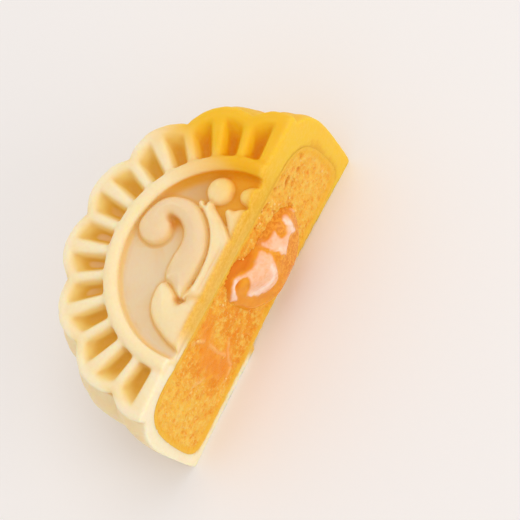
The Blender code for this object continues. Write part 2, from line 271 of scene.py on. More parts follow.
def slot_outline(side_inset, ring_inset, rim_inset):
    """Corners round the slot on the +Y side of a petal that points along +X."""
    edge = RIB_WIDTH / 2 + side_inset
    inner = RING_MIDDLE + RING_TO_SLOT + ring_inset
    outer = PETAL_PEAK - PETAL_CENTRE - RIM_WIDTH - rim_inset
    along = np.array((math.cos(PETAL_HALF_ANGLE), math.sin(PETAL_HALF_ANGLE)))
    across = np.array((along[1], -along[0]))

    def on_notch_rib(centre_x, radius):
        foot = across * edge - (centre_x, 0)
        half = foot @ along
        reach = -half + math.sqrt(half ** 2 - foot @ foot + radius ** 2)
        return foot + (centre_x, 0) + along * reach

    far = on_notch_rib(PETAL_CENTRE, outer)
    near = on_notch_rib(0.0, inner)
    outline = []
    for a in np.linspace(math.asin(edge / outer), math.atan2(far[1], far[0] - PETAL_CENTRE), ARC_POINTS):
        outline.append((PETAL_CENTRE + outer * math.cos(a), outer * math.sin(a)))
    for a in np.linspace(math.atan2(near[1], near[0]), math.asin(edge / inner), END_POINTS):
        outline.append((inner * math.cos(a), inner * math.sin(a)))
    return np.array(outline)


def slot_bar():
    """A bar whose cross-section at each height is the slot's outline there."""
    count = ARC_POINTS + END_POINTS
    bar = draw_up("slot", [(depth[0], 1.0) for depth in SLOT_DEPTHS], count)
    corners = corners_of(bar)
    place = np.round((np.arctan2(corners[:, 1], corners[:, 0]) / (2 * math.pi)) * count).astype(int) % count
    for z, side, ring, rim in SLOT_DEPTHS:
        outline = slot_outline(side, ring, rim)
        level = np.abs(corners[:, 2] - z) < 0.01
        corners[level, :2] = outline[place[level]]
    set_corners(bar, corners)
    return bar


first_slot = slot_bar()
print("one slot:", triangles_of(first_slot), "triangles")

# %% All the slots of the half
slots = []
for petal in range(PETALS // 2 + 1):
    for side in (1, -1):
        turn = 2 * PETAL_HALF_ANGLE * petal
        if math.sin(turn + side * PETAL_HALF_ANGLE / 2) < 0:
            continue
        copy = first_slot.copy()
        copy.data = first_slot.data.copy()
        bpy.context.collection.objects.link(copy)
        copy.scale = (1, side, 1)
        copy.rotation_euler = (0, 0, turn)
        slots.append(copy)
bpy.data.objects.remove(first_slot, do_unlink=True)
all_slots = weld(*slots)
bpy.ops.object.transform_apply(location=True, rotation=True, scale=True)
edit_all()
turn_outward()
cut_away(barrel, all_slots)
print("slots cut:", len(slots))

# %% [markdown]
# ## The sunk field and its ring
#
# The picture lies in a sunk round field, inside a ring with a rounded crest. The field is cut out with a
# round body whose lower edge is eased, so that dough and floor meet in a soft corner. The ring is a torus
# laid on the shoulder.

# %% Field and ring
ROUND_SIDES = 168
RING_CREST = RING_MIDDLE + 0.05
RING_THICK = 1.12
RING_RISE = 0.88
# height and radius
FIELD_ROWS = (
    (FIELD_Z, 13.35),
    (FIELD_Z + 0.07, 13.72),
    (FIELD_Z + 0.3, 13.98),
    (FIELD_Z + 0.8, 14.15),
    (FIELD_Z + 3, 14.5),
)
cut_away(barrel, draw_up("field", FIELD_ROWS, ROUND_SIDES))
put_down()
bpy.ops.mesh.primitive_torus_add(major_radius=RING_CREST, minor_radius=RING_THICK, minor_segments=20,
                                 major_segments=ROUND_SIDES, location=(0, 0, HEIGHT - RING_RISE))
ring = bpy.context.object
ring.name = "ring"
ring.scale = (1, 1, RING_RISE / RING_THICK)
bpy.ops.object.transform_apply(location=True, rotation=False, scale=True)
print("ring:", triangles_of(ring), "triangles")

# %% [markdown]
# ## The raised picture
#
# Scroll, leaf, stem, spur, lobe and bud are soft cushions of dough. Each is a closed curve drawn round its
# outline, with a thick rounded bevel set inwards, which gives the cushion its crown. The curves then become
# meshes. A small foot fills the corner between leaf and stem. Outlines are in millimetres from the cake's
# middle, and the knife later takes off what runs on past the cut.

# %% Outlines of the figures
SCROLL = (
    (-3.98, 5.78), (-0.97, 6.26), (1.32, 6.07), (2.88, 6.49), (3.88, 7.44), (4.4, 8.84), (4.37, 9.65),
    (3.39, 8.75), (2.2, 8.3), (0.91, 8.57), (-0.17, 9.84), (-0.3, 11.62), (0.42, 12.95), (1.62, 13.7),
    (3.05, 13.6), (4.5, 13.15), (5.95, 12.35), (7.05, 11.1), (7.55, 9.21), (7.48, 7.24), (6.71, 5.38),
    (5.37, 3.82), (3.84, 2.66), (1.73, 1.77), (-0.61, 1.51), (-3.33, 1.61), (-5.8, 2.02),
    (-5.6, 2.9), (-4.7, 4.25),
)
LEAF = (
    (-12.6, -3.0), (-12.3, 0.0), (-11.4, 2.4), (-9.95, 4.75), (-8.42, 5.89), (-6.87, 6.31), (-5.3, 6.25),
    (-4.55, 5.75), (-4.7, 4.5), (-5.4, 3.15), (-6.55, 2.15), (-6.0, 1.45), (-5.1, 0.2), (-4.8, -1.5),
    (-4.8, -3.0),
)
STEM = (
    (-5.77, 1.77), (-3.4, 1.32), (-0.69, 1.24), (1.78, 1.53), (3.94, 2.41), (5.48, 3.55), (6.82, 5.09),
    (7.94, 6.54), (8.21, 6.15), (7.74, 5.26), (8.29, 5.24), (8.48, 4.4), (7.85, 3.78), (6.92, 2.31),
    (5.63, 0.52), (4.6, -0.64), (4.07, -1.47), (3.9, -3.0), (-4.7, -3.0), (-4.69, -0.98), (-5.12, 0.92),
)
SPUR = (
    (7.9, 2.0), (8.39, 1.79), (8.52, 0.79), (9.05, -0.12), (9.3, -3.0), (4.4, -3.0), (4.53, -1.21),
    (4.69, -0.86), (5.71, 0.3), (7.02, 1.4),
)
LOBE = (
    (9.75, -0.2), (10.19, 0.78), (11.3, 1.13), (12.24, 0.45), (12.77, -0.86), (12.3, -3.0), (9.9, -3.0),
)
FOOT = ((-6.1, 0.9), (-5.4, 1.25), (-4.6, 0.8), (-4.1, -0.4), (-4.1, -3.0), (-6.6, -3.0), (-6.5, -0.6))
BUD = tuple((10.4 + 2.1 * math.cos(a), 4.2 + 2.1 * math.sin(a)) for a in np.arange(8) * math.pi / 4)
# outline, rise over the field, width of the rounded edge, how much more the middle swells, and how far in
# from the edge it still climbs
FIGURES = {
    "scroll": (SCROLL, 0.85, 0.65, 0.62, 2.2),
    "leaf": (LEAF, 0.85, 0.65, 0.62, 2.8),
    "stem": (STEM, 0.9, 0.45, 0.2, 1.2),
    "foot": (FOOT, 0.85, 0.4, 0.25, 1.6),
    "spur": (SPUR, 0.85, 0.45, 0.35, 1.4),
    "lobe": (LOBE, 0.85, 0.6, 0.55, 1.9),
    "bud": (BUD, 0.9, 0.65, 0.5, 1.8),
}
HALF_THICK = 0.6


# %% Cushions from outlines
def cushion(name, outline, rise, crown):
    """A figure of that rise over the field, its edge rounded over the crown's width."""
    curve = bpy.data.curves.new(name, "CURVE")
    curve.dimensions = "2D"
    curve.fill_mode = "BOTH"
    curve.resolution_u = 6
    curve.bevel_depth = crown
    curve.bevel_resolution = 5
    curve.offset = -crown
    spline = curve.splines.new("BEZIER")
    spline.bezier_points.add(len(outline) - 1)
    for knot, (x, y) in zip(spline.bezier_points, outline):
        knot.co = (x, y, 0)
        knot.handle_left_type = "AUTO"
        knot.handle_right_type = "AUTO"
    spline.use_cyclic_u = True
    curve.extrude = HALF_THICK
    figure = bpy.data.objects.new(name, curve)
    bpy.context.collection.objects.link(figure)
    figure.location = (0, 0, FIELD_Z + rise - crown - HALF_THICK)
    take(figure)
    bpy.ops.object.convert(target="MESH")
    bpy.ops.object.transform_apply(location=True, rotation=False, scale=False)
    edit_all()
    bpy.ops.mesh.remove_doubles(threshold=0.01)
    turn_outward()
    return figure


figures = [cushion(name, outline, rise, crown) for name, (outline, rise, crown, *_) in FIGURES.items()]
print("figures:", [figure.name for figure in figures])

# %% [markdown]
# ## Filling room and knife cut
#
# The dough is a shell round the filling, and the knife went through 1.2 mm in front of the middle. The
# filling is drawn up as a low bun and sheared a little, because its top falls towards +X. The same bun, a
# touch larger, later gives the custard.

# %% The bun shape
# share of the height, and radius
BUN = (
    (0.0, 20.8),
    (0.03, 22.3),
    (0.14, 23.25),
    (0.4, 23.4),
    (0.62, 23.15),
    (0.8, 22.45),
    (0.92, 21.1),
    (0.985, 19.0),
    (1.0, 17.0),
)
BUN_ROWS = smooth_rows(BUN, 3)
BUN_BOTTOM = 1.7
BUN_TOP = 17.75
BUN_SHIFT = 0.45
BUN_TILT = 0.06


def bun_height(x, share, grow):
    """Height of the bun's surface, whose top falls towards +X."""
    low = BUN_BOTTOM - grow
    return low + (BUN_TOP + grow - low - BUN_TILT * x) * share


def bun(name, grow):
    """The filling's shape, made larger all round by that much."""
    body = draw_up(name, [(share, radius + grow) for share, radius in BUN_ROWS], 128)
    corners = corners_of(body)
    corners[:, 0] -= BUN_SHIFT
    corners[:, 2] = bun_height(corners[:, 0], corners[:, 2], grow)
    set_corners(body, corners)
    return body


def knife_block(name, length=90, depth=60):
    """A block longer and higher than the cake, in front of the cut."""
    put_down()
    bpy.ops.mesh.primitive_cube_add(size=1, location=(0, CUT_Y - depth / 2, 10), scale=(length, depth, depth))
    block = bpy.context.object
    block.name = name
    bpy.ops.object.transform_apply(location=True, rotation=False, scale=True)
    return block


# %% Cut every shell, then press them into one
cut_away(barrel, bun("filling_room", 0.0))
knife = knife_block("knife")
for shell in (barrel, ring, *figures):
    cut_away(shell, knife, keep_cutter=True, crossing=shell not in (barrel, ring))
bpy.data.objects.remove(knife, do_unlink=True)
skin = weld(barrel, ring, *figures)
skin.name = "dough_skin"
print("shells joined:", triangles_of(skin), "triangles")

# %% [markdown]
# ## One soft skin
#
# The shells still overlap and meet in hard corners. A voxel remesh melts them into one closed skin, and a
# little smoothing rounds every corner as pressed dough is rounded.

# %% Melt and smooth
VOXEL = 0.16
shape_with(skin, "REMESH", mode="VOXEL", voxel_size=VOXEL)
print("remeshed:", triangles_of(skin), "triangles")
shape_with(skin, "SMOOTH", factor=0.5, iterations=6)

# %% [markdown]
# ## Shaping by corners
#
# From here on the skin is soft: its corners are moved a little, more in one place and less in another. These
# helpers say where. Some fade from one place to the next, some measure how far a corner lies from a line that
# is drawn on the cake, and one gives slow noise.


# %% Easing and averaging
def ease(value, low, high):
    """0 up to low, 1 from high on, and a soft step between. Low may be the larger one."""
    t = np.clip((value - low) / (high - low), 0, 1)
    return t * t * (3 - 2 * t)


def averaged(piece, passes, weights):
    """The piece's corners after each has moved towards the middle of its neighbours a number of times."""
    corners = corners_of(piece)
    pairs = np.empty(len(piece.data.edges) * 2, dtype=np.int32)
    piece.data.edges.foreach_get("vertices", pairs)
    a, b = pairs.reshape(-1, 2).T
    count = np.bincount(pairs, minlength=len(corners))[:, None]
    for _ in range(passes):
        middle = np.column_stack([np.bincount(a, corners[b, axis], len(corners))
                                  + np.bincount(b, corners[a, axis], len(corners)) for axis in range(3)])
        corners = corners + (middle / count - corners) * weights[:, None]
    return corners


# %% Distances and slow noise
def inside_line(points, line):
    """Signed distance in millimetres from a closed line, positive inside."""
    ends = np.roll(line, -1, axis=0)
    nearest = np.full(len(points), 1e9)
    crossings = np.zeros(len(points), dtype=int)
    for a, b in zip(line, ends):
        edge = b - a
        t = np.clip(((points - a) @ edge) / (edge @ edge), 0, 1)
        nearest = np.minimum(nearest, np.linalg.norm(points - a - t[:, None] * edge, axis=1))
        spans = (a[1] > points[:, 1]) != (b[1] > points[:, 1])
        at = a[0] + (points[:, 1] - a[1]) * edge[0] / (edge[1] if edge[1] else 1e-9)
        crossings += spans & (points[:, 0] < at)
    return np.where(crossings % 2 == 1, nearest, -nearest)


def from_path(points, path):
    """Distance in millimetres from an open line."""
    nearest = np.full(len(points), 1e9)
    path = np.array(path)
    for a, b in zip(path, path[1:]):
        t = np.clip(((points - a) @ (b - a)) / ((b - a) @ (b - a)), 0, 1)
        nearest = np.minimum(nearest, np.linalg.norm(points - a - t[:, None] * (b - a), axis=1))
    return nearest


def along_paths(points, paths, width):
    """1 on any of the open lines, fading beside them over that width."""
    return sum(np.exp(-(from_path(points, path) / width) ** 2) for path in paths)


def slow_lumps(points, size, seed):
    """Soft noise from -1 to 1 at each point, with lumps of about that size."""
    return np.array([noise.noise(Vector((x / size + seed, y / size, z / size))) for x, y, z in points])


# %% [markdown]
# ## Details of the soft skin
#
# The slots have no sharp inner corner, and the upper edge of the cut is rubbed round. The figures swell
# towards their middles, and two fine ridges run along the stem with a shallow groove between them. The wall
# is slowly uneven, with faint folds under the rim, and the knife dragged the sole's edge inwards.

# %% Round slots and knife edge
corners = corners_of(skin)
radii = np.hypot(corners[:, 0], corners[:, 1])
slot_zone = ease(radii, 15.6, 16.2) * ease(radii, 22.4, 21.8)
weights = 0.5 * slot_zone * (0.35 + 0.65 * ease(corners[:, 2], 22.0, 21.4))
knife_edge = ease(corners[:, 1], CUT_Y + 0.9, CUT_Y + 0.3) * ease(corners[:, 2], 18.6, 19.4)
weights = np.maximum(weights, 0.5 * knife_edge * (0.3 + 0.7 * ease(corners[:, 0], 12.0, 16.0)))
set_corners(skin, averaged(skin, 22, weights))
print("corners eased:", int((weights > 0).sum()))

# %% Swelling figures
# rise, width and path
RIDGES = (
    (0.16, 0.45, ((7.2, 4.7), (5.4, 2.9), (3.5, 1.75), (1.2, 0.9), (-1.2, 0.55), (-3.9, 0.7))),
    (0.16, 0.35, ((3.3, -0.7), (1.5, -0.8), (-0.6, -0.6), (-2.6, -0.7))),
    (-0.07, 0.5, ((6.0, 1.9), (4.2, 0.3), (2.0, -0.1), (-0.8, -0.1), (-3.6, -0.1))),
    (0.08, 0.35, ((10.9, 4.8), (10.95, 4.85))),
)
corners = corners_of(skin)
picture = (np.hypot(corners[:, 0], corners[:, 1]) < FIELD_EDGE) & (corners[:, 2] > FIELD_Z + 0.25)
plan = corners[picture, :2]
above_floor = ease(corners[picture, 2], FIELD_Z + 0.3, FIELD_Z + 0.9)
for outline, _, _, swell, reach in FIGURES.values():
    inside = np.clip(inside_line(plan, closed_line(outline, 4)) / reach, 0, 1)
    corners[picture, 2] += swell * (1 - (1 - inside) ** 2) * above_floor
for rise, width, path in RIDGES:
    corners[picture, 2] += rise * along_paths(plan, [path], width) * above_floor
print("picture rises to", round(float(corners[picture, 2].max()), 2), "mm")

# %% Uneven wall
outward = corners * (1, 1, 0)
outward /= np.maximum(np.linalg.norm(outward, axis=1), 1.0)[:, None]
away_from_cut = np.clip((corners[:, 1] - CUT_Y - 0.3) / 2, 0, 1)
on_wall = np.clip((np.hypot(corners[:, 0], corners[:, 1]) - 21) / 2, 0, 1)
folds = slow_lumps(corners * (1.0, 1.0, 0.45), 1.7, 19.0) * ease(corners[:, 2], 11.0, 16.0)
lumps = 0.22 * slow_lumps(corners, 7.0, 3.7) + 0.12 * slow_lumps(corners, 2.4, 9.1) + 0.16 * folds
corners += outward * (lumps * on_wall * away_from_cut)[:, None]
print("wall moved by up to", round(float(np.abs(lumps * on_wall * away_from_cut).max()), 2), "mm")

# %% Dragged sole
# place along X, and how far the knife dragged the sole's edge inwards there
SOLE_EDGE = ((-24, 0.0), (-16, 0.05), (-11, 0.08), (-8, 0.05), (-5.8, 0.05), (-5.2, 0.65),
             (-2.7, 0.75), (2, 0.8), (8, 0.7), (14, 0.5), (20, 0.2), (25, 0.0))
dragged = np.interp(corners[:, 0], *np.transpose(SOLE_EDGE)) * (1 + 0.35 * slow_lumps(corners, 0.9, 31.0))
near_cut = np.exp(-np.maximum(corners[:, 1] - CUT_Y, 0) / 1.2)
corners[:, 1] += dragged * (1 - ease(corners[:, 2], -0.6, 2.4)) * near_cut
lowest = corners[:, 2].min()
pressed = 0.35 * ease(corners[:, 1], CUT_Y + 2.0, CUT_Y + 0.6) * ease(corners[:, 2], 1.5, 0.0)
corners[:, 2] = np.maximum(lowest, corners[:, 2] - pressed)
set_corners(skin, corners)

# %% Spare triangles
# the skin is thinned when it has more triangles than this; no piece may have more than
# 200,000 triangles
MOST_TRIANGLES = 195000
THINNED_TO = 190000
if triangles_of(skin) > MOST_TRIANGLES:
    shape_with(skin, "DECIMATE", ratio=THINNED_TO / triangles_of(skin))
print("skin:", triangles_of(skin), "triangles")

# %% [markdown]
# ## Putting a finished piece in its place
#
# A piece that is done is made 1000 times smaller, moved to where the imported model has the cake, and has
# both applied to its mesh. It then rides on the cake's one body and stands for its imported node.

# %% Settle a piece
def settle(piece, node, material):
    take(piece)
    piece.location = (MIDDLE[0] * MM, MIDDLE[1] * MM, 0)
    piece.scale = (MM, MM, MM)
    bpy.ops.object.transform_apply(location=True, rotation=True, scale=True)
    bpy.ops.object.shade_smooth()
    piece.data.materials.clear()
    piece.data.materials.append(material)
    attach(piece, "root")
    if node:
        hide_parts(node)
    print(piece.name, triangles_of(piece), "triangles")


# %% [markdown]
# ## Writing materials
#
# Each finish is a small tree of nodes on a Principled shader. All patterns are read in millimetres from the
# middle of the cake: the object's own coordinates are made 1000 times larger and shifted, so a grain of
# 0.3 mm is written as 0.3. What a node gives is wrapped in a Value, so that a tree can be written down like a
# sum: each *, + or - adds one math node.

# %% Values that nodes give
class Value:
    def __init__(self, finish, socket):
        self.finish = finish
        self.socket = socket

    def __mul__(self, other):
        return self.finish.math("MULTIPLY", self, other)

    def __add__(self, other):
        return self.finish.math("ADD", self, other)

    def __sub__(self, other):
        return self.finish.math("SUBTRACT", self, other)

    def __rsub__(self, other):
        return self.finish.math("SUBTRACT", other, self)

    def clamped(self):
        """The same, but kept from 0 to 1."""
        self.socket.node.use_clamp = True
        return self

    def ramp(self, low, high, from_value=0.0, to_value=1.0):
        """A soft step from one value to another while this one goes from low to high."""
        node = self.finish.tree.nodes.new("ShaderNodeMapRange")
        node.interpolation_type = "SMOOTHSTEP"
        self.finish.link(self, node.inputs["Value"])
        node.inputs["From Min"].default_value = low
        node.inputs["From Max"].default_value = high
        node.inputs["To Min"].default_value = from_value
        node.inputs["To Max"].default_value = to_value
        return Value(self.finish, node.outputs["Result"])

    def within(self, start, full, fading, end):
        """1 from full to fading, and 0 up to start and from end on."""
        return self.ramp(start, full) * self.ramp(end, fading)


# %% Finishes
class Finish:
    def __init__(self, name):
        self.material = bpy.data.materials.new(name)
        self.material.use_nodes = True
        self.tree = self.material.node_tree
        self.shader = self.tree.nodes["Principled BSDF"]
        texture = self.tree.nodes.new("ShaderNodeTexCoord")
        mapping = self.tree.nodes.new("ShaderNodeMapping")
        mapping.inputs["Location"].default_value = (-MIDDLE[0], -MIDDLE[1], 0)
        mapping.inputs["Scale"].default_value = (1000, 1000, 1000)
        self.tree.links.new(texture.outputs["Object"], mapping.inputs["Vector"])
        self.place = mapping.outputs["Vector"]

    def link(self, value, socket):
        """Join a Value to a socket, or write a plain number or colour on it."""
        if isinstance(value, Value):
            self.tree.links.new(value.socket, socket)
        else:
            socket.default_value = value

    def math(self, operation, a, b=0.0):
        node = self.tree.nodes.new("ShaderNodeMath")
        node.operation = operation
        self.link(a, node.inputs[0])
        self.link(b, node.inputs[1])
        return Value(self, node.outputs[0])

    def axis(self, name):
        node = self.tree.nodes.new("ShaderNodeSeparateXYZ")
        self.tree.links.new(self.place, node.inputs[0])
        return Value(self, node.outputs[name])

    def grain(self, size, detail=2.0, roughness=0.5):
        node = self.tree.nodes.new("ShaderNodeTexNoise")
        node.inputs["Scale"].default_value = 1 / size
        node.inputs["Detail"].default_value = detail
        node.inputs["Roughness"].default_value = roughness
        self.tree.links.new(self.place, node.inputs["Vector"])
        return Value(self, node.outputs["Fac"])

    def attribute(self, name):
        node = self.tree.nodes.new("ShaderNodeAttribute")
        node.attribute_name = name
        return Value(self, node.outputs["Fac"])

    def blend(self, share, first, second):
        node = self.tree.nodes.new("ShaderNodeMix")
        node.data_type = "RGBA"
        self.link(share, node.inputs["Factor"])
        self.link(first, node.inputs["A"])
        self.link(second, node.inputs["B"])
        return Value(self, node.outputs["Result"])

    def lay(self, share, shade):
        """Lay one more colour over the colour so far, as much as a number or a mask says."""
        self.colour = self.blend(share, self.colour, shade)

    def bump(self, height, strength, distance):
        node = self.tree.nodes.new("ShaderNodeBump")
        node.inputs["Strength"].default_value = strength
        node.inputs["Distance"].default_value = distance
        self.link(height, node.inputs["Height"])
        self.tree.links.new(node.outputs["Normal"], self.shader.inputs["Normal"])

    def set(self, **sockets):
        for name, value in sockets.items():
            self.link(value, self.shader.inputs[name.replace("_", " ")])


def rgb(red, green, blue):
    """A colour as seen on screen, from 0 to 255, as the linear value a shader wants."""
    linear = []
    for value in (red / 255, green / 255, blue / 255):
        linear.append(value / 12.92 if value <= 0.04045 else ((value + 0.055) / 1.055) ** 2.4)
    return (*linear, 1.0)


# %% [markdown]
# ## Masks for colour
#
# Some colours follow the shape: creases and deep corners are painted deeper as shade, ridges are painted
# paler as highlight, and the dough takes up colour from the filling. Such masks are worked out on the
# finished mesh and stored on its corners, where a finish reads them as attributes.

# %% Mask helpers
def write_masks(piece, **masks):
    for name, values in masks.items():
        attribute = piece.data.attributes.new(name, "FLOAT", "POINT")
        attribute.data.foreach_set("value", values.astype(np.float32))


def hollows(piece, passes):
    """How far each corner lies under the smoothed surface round it, in millimetres. Ridges are negative."""
    corners = corners_of(piece)
    smooth = averaged(piece, passes, np.ones(len(corners)))
    normals = np.empty(len(corners) * 3)
    piece.data.vertices.foreach_get("normal", normals)
    return ((smooth - corners) * normals.reshape(-1, 3)).sum(axis=1)


def bun_outline(grow):
    """The filling's outline on the cut."""
    line = []
    for side, rows in ((1, BUN_ROWS), (-1, BUN_ROWS[::-1])):
        for share, radius in rows:
            x = side * (radius + grow) - BUN_SHIFT
            line.append((x, bun_height(x, share, grow)))
    return np.array(line)


# %% Masks on the skin
CREASE_DEPTH = 0.06
HOLLOW_DEPTH = 0.16
corners = corners_of(skin)
by_custard = ease(-inside_line(corners[:, [0, 2]], bun_outline(0.0)), 1.8, 0.0)
by_custard *= ease(corners[:, 1], CUT_Y + 1.2, CUT_Y + 0.1)
write_masks(
    skin,
    by_custard=by_custard,
    cut_face=ease(corners[:, 1], CUT_Y + 1.0, CUT_Y + 0.1),
    crease=hollows(skin, 7) / CREASE_DEPTH,
    hollow=hollows(skin, 36) / HOLLOW_DEPTH,
)

# %% Masks on the picture
plan = corners[:, :2]
lines = {name: closed_line(outline, 4) for name, (outline, *_) in FIGURES.items() if name != "foot"}
from_figure = np.min([np.abs(inside_line(plan, line)) for line in lines.values()], axis=0)
in_picture = (np.hypot(*plan.T) < FIELD_EDGE) & (corners[:, 2] > FIELD_Z - 0.3)
# painted shade in two deep corners: inside the scroll's hook, and where scroll and leaf meet
from_hook = np.hypot(*(plan - (3.9, 8.5)).T)
from_notch = np.hypot(*(plan - (-6.1, 2.5)).T)
hook = np.maximum(np.exp(-(from_hook / 1.15) ** 2), 0.55 * np.exp(-(from_notch / 0.6) ** 2))
write_masks(
    skin,
    on_scroll=ease(inside_line(plan, lines["scroll"]), -0.1, 0.5) * in_picture,
    # painted shade along the foot of each figure
    by_figure=np.exp(-(from_figure / 0.55) ** 2) * in_picture,
    hook=hook * in_picture * ease(corners[:, 2], FIELD_Z + 1.2, FIELD_Z + 0.6),
)
print("masks:", [attribute.name for attribute in skin.data.attributes if attribute.data_type == "FLOAT"])

# %% [markdown]
# ## The dough's finish
#
# The dough is a satin, slightly see-through paste. It is pale cream at the -X end and turns golden past the
# picture's bud; that golden end is a painted glow, standing in for light that shines through the dough from
# behind. Creases, slots, the inner side of the ring and the feet of the figures are painted deeper and more
# orange as shade, and ridges are painted paler as highlight. The floor of the field is a dull beige, painted
# darker towards +X as shade, and the scroll on it is peach. The colours are laid over one another, one region
# in each cell.

# %% Plain dough
dough = Finish("dough_skin_finish")
x, y, z = (dough.axis(name) for name in "XYZ")
radius = dough.math("SQRT", x * x + y * y)
patches = (dough.grain(5.0, 1.0) - 0.5) * 4.0
drift = x - y * 0.45 + patches
# painted glow: the dough is painted golden towards +X, standing in for light that shines through it from
# behind
golden = drift.ramp(3.0, 13.5)
cut_face = dough.attribute("cut_face")
behind_cut = 1.0 - cut_face
dough.colour = dough.blend(golden, rgb(251, 234, 200), rgb(243, 192, 48))


def tint(share, pale, gold):
    """Lay over a colour that is pale at the -X end and golden at the other, as the painted glow says."""
    dough.lay(share, dough.blend(golden, rgb(*pale), rgb(*gold)))


# %% Wall and ring
wall = z.ramp(20.5, 17.0) * dough.grain(2.6, 3.0).ramp(0.3, 0.7, 0.8, 1.0) * behind_cut
# the wall's slower painted glow towards +X
slow_gold = (x - y * 0.3 + patches).ramp(0.0, 22.0)
dough.lay(wall, dough.blend(slow_gold, rgb(251, 221, 168), rgb(243, 188, 60)))
# painted shade: the dough is darker in the valley under the rim's overhang
under_rim = z.within(18.6, 19.1, 19.5, 19.9) * radius.ramp(21.2, 22.0) * behind_cut
tint(under_rim * 0.5, (238, 202, 130), (230, 156, 14))
tint(radius.ramp(16.9, 16.2) * z.ramp(20.2, 20.8) * 0.7, (246, 226, 178), (238, 176, 16))

# %% Field and picture, with painted shade on the field's floor, at the figures' feet and in deep corners
in_field = radius.ramp(14.2, 13.6) * z.ramp(19.4, 19.8)
tint(in_field * 0.85, (249, 226, 180), (246, 206, 104))
tint(dough.attribute("on_scroll") * 0.65, (232, 203, 164), (240, 201, 134))
# painted shade: the field's floor is beige, darker towards +X as if shaded by the ring, and deep orange near
# the cut at that end
on_floor = z.ramp(20.45, 20.1) * in_field
beige = dough.blend(drift.ramp(-4.0, 9.0), rgb(234, 216, 186), rgb(210, 164, 110))
by_cut = y.ramp(6.0, 3.5) * x.ramp(4.0, 7.5)
dough.lay(on_floor * 0.95, dough.blend(by_cut * 0.9, beige, rgb(238, 166, 10)))
# painted shade where the figures meet the field
tint(dough.attribute("by_figure") * 0.55, (236, 188, 96), (236, 162, 14))
# painted shade deep in the hook and the notch
dough.lay(dough.attribute("hook") * 0.95, rgb(220, 132, 0))

# %% Inner side of the ring, painted darker as shade, most of all at its foot
tint(radius.within(13.4, 13.9, 14.4, 15.1) * z.ramp(21.6, 20.9) * 0.75, (245, 219, 160), (226, 146, 0))
ring_foot = radius.within(12.3, 13.9, 14.3, 14.9) * z.ramp(21.5, 20.8) * drift.ramp(-2.0, 5.0)
tint(ring_foot * 0.9, (234, 166, 4), (238, 160, 0))

# %% Slots, painted deeper and more orange towards their floors as shade
in_slot = radius.within(15.9, 16.5, 21.9, 22.9) * behind_cut
tint(in_slot * z.ramp(21.6, 20.3), (241, 209, 122), (244, 188, 12))
tint(in_slot * z.ramp(20.45, 19.85), (221, 162, 44), (234, 154, 0))
tint(in_slot * z.ramp(19.95, 19.72) * 0.7, (214, 150, 50), (216, 124, 2))
pale_end = y.ramp(13.0, 17.0) * x.ramp(4.0, -1.0)
dough.lay(in_slot * z.ramp(19.9, 19.75) * pale_end * 0.5, rgb(240, 213, 190))

# %% Painted shade in creases and hollows, and painted highlight on ridges
crease = dough.attribute("crease")
hollow = dough.attribute("hollow").ramp(0.2, 1.4) * (1.0 - on_floor * 0.85)
off_wall = behind_cut * radius.ramp(22.3, 21.0, 0.2, 1.0)
tint(off_wall * hollow * 0.4, (232, 180, 84), (230, 146, 0))
tint(off_wall * crease.ramp(0.15, 1.6) * 0.45, (232, 170, 58), (226, 144, 0))
tint(crease.ramp(-0.3, -1.6) * 0.35, (254, 242, 216), (248, 208, 100))

# %% Cut edge
band = dough.blend(x.ramp(8.0, 21.0), rgb(230, 172, 40), rgb(243, 196, 52))
band = dough.blend(dough.grain(0.5, 4.0, 0.7).ramp(0.42, 0.62, 0.0, 0.45), band, rgb(246, 204, 92))
dough.lay(cut_face * x.ramp(-13.5, -8.5) * 0.9, band)
dough.lay(cut_face * z.ramp(2.6, 1.4) * x.ramp(-6.0, -8.0), rgb(253, 236, 200))

# %% Stain beside the custard, and painted light at its edge
by_custard = dough.attribute("by_custard")
ragged = by_custard + (dough.grain(0.9, 4.0, 0.65) - 0.5) * 0.9
strength = (x.ramp(-18.0, 0.0, 0.2, 0.95) + z.ramp(3.0, 1.6, 0.0, 0.5)).clamped()
tint(ragged.ramp(0.35, 1.0) * strength * cut_face, (248, 200, 92), (234, 166, 40))
# painted light: a bright band right at the custard's edge fills the shade of the small groove between dough
# and custard
dough.lay(by_custard.ramp(0.88, 0.99, 0.0, 0.8) * cut_face, rgb(255, 206, 88))

# %% Gloss, softness and grain of the dough
speck = dough.grain(0.5, 3.0)
dough.lay(speck.ramp(0.35, 0.75, 0.0, 0.1), rgb(240, 190, 110))
dough.set(Base_Color=dough.colour, Subsurface_Weight=0.6, Subsurface_Scale=0.0013,
          Subsurface_Radius=(1.0, 0.62, 0.2), Roughness=speck.ramp(0.3, 0.7, 0.42, 0.56),
          Specular_IOR_Level=0.1)
cut_grain = dough.grain(0.45, 4.0, 0.65) * cut_face
skin_grain = dough.grain(0.22, 3.0, 0.6) * 0.3
dough.bump(cut_grain + skin_grain, 0.4, 0.00016)
print("dough:", len(dough.tree.nodes), "nodes")
settle(skin, "skin", dough.material)

# %% [markdown]
# ## The custard's broken face
#
# The filling isn't sliced smooth: the knife drags crumbs out of it. Its face is a fine grid stood upright,
# pushed in and out by three kinds of noise: slow swells, crumbs of about half a millimetre, and pits that
# are deepest in the upper part towards +X. To the left of the runny centre a thin smear of it fills the
# grain, so the relief is calmer there. The grid is drawn back into a block, and the custard is what block
# and bun have in common.

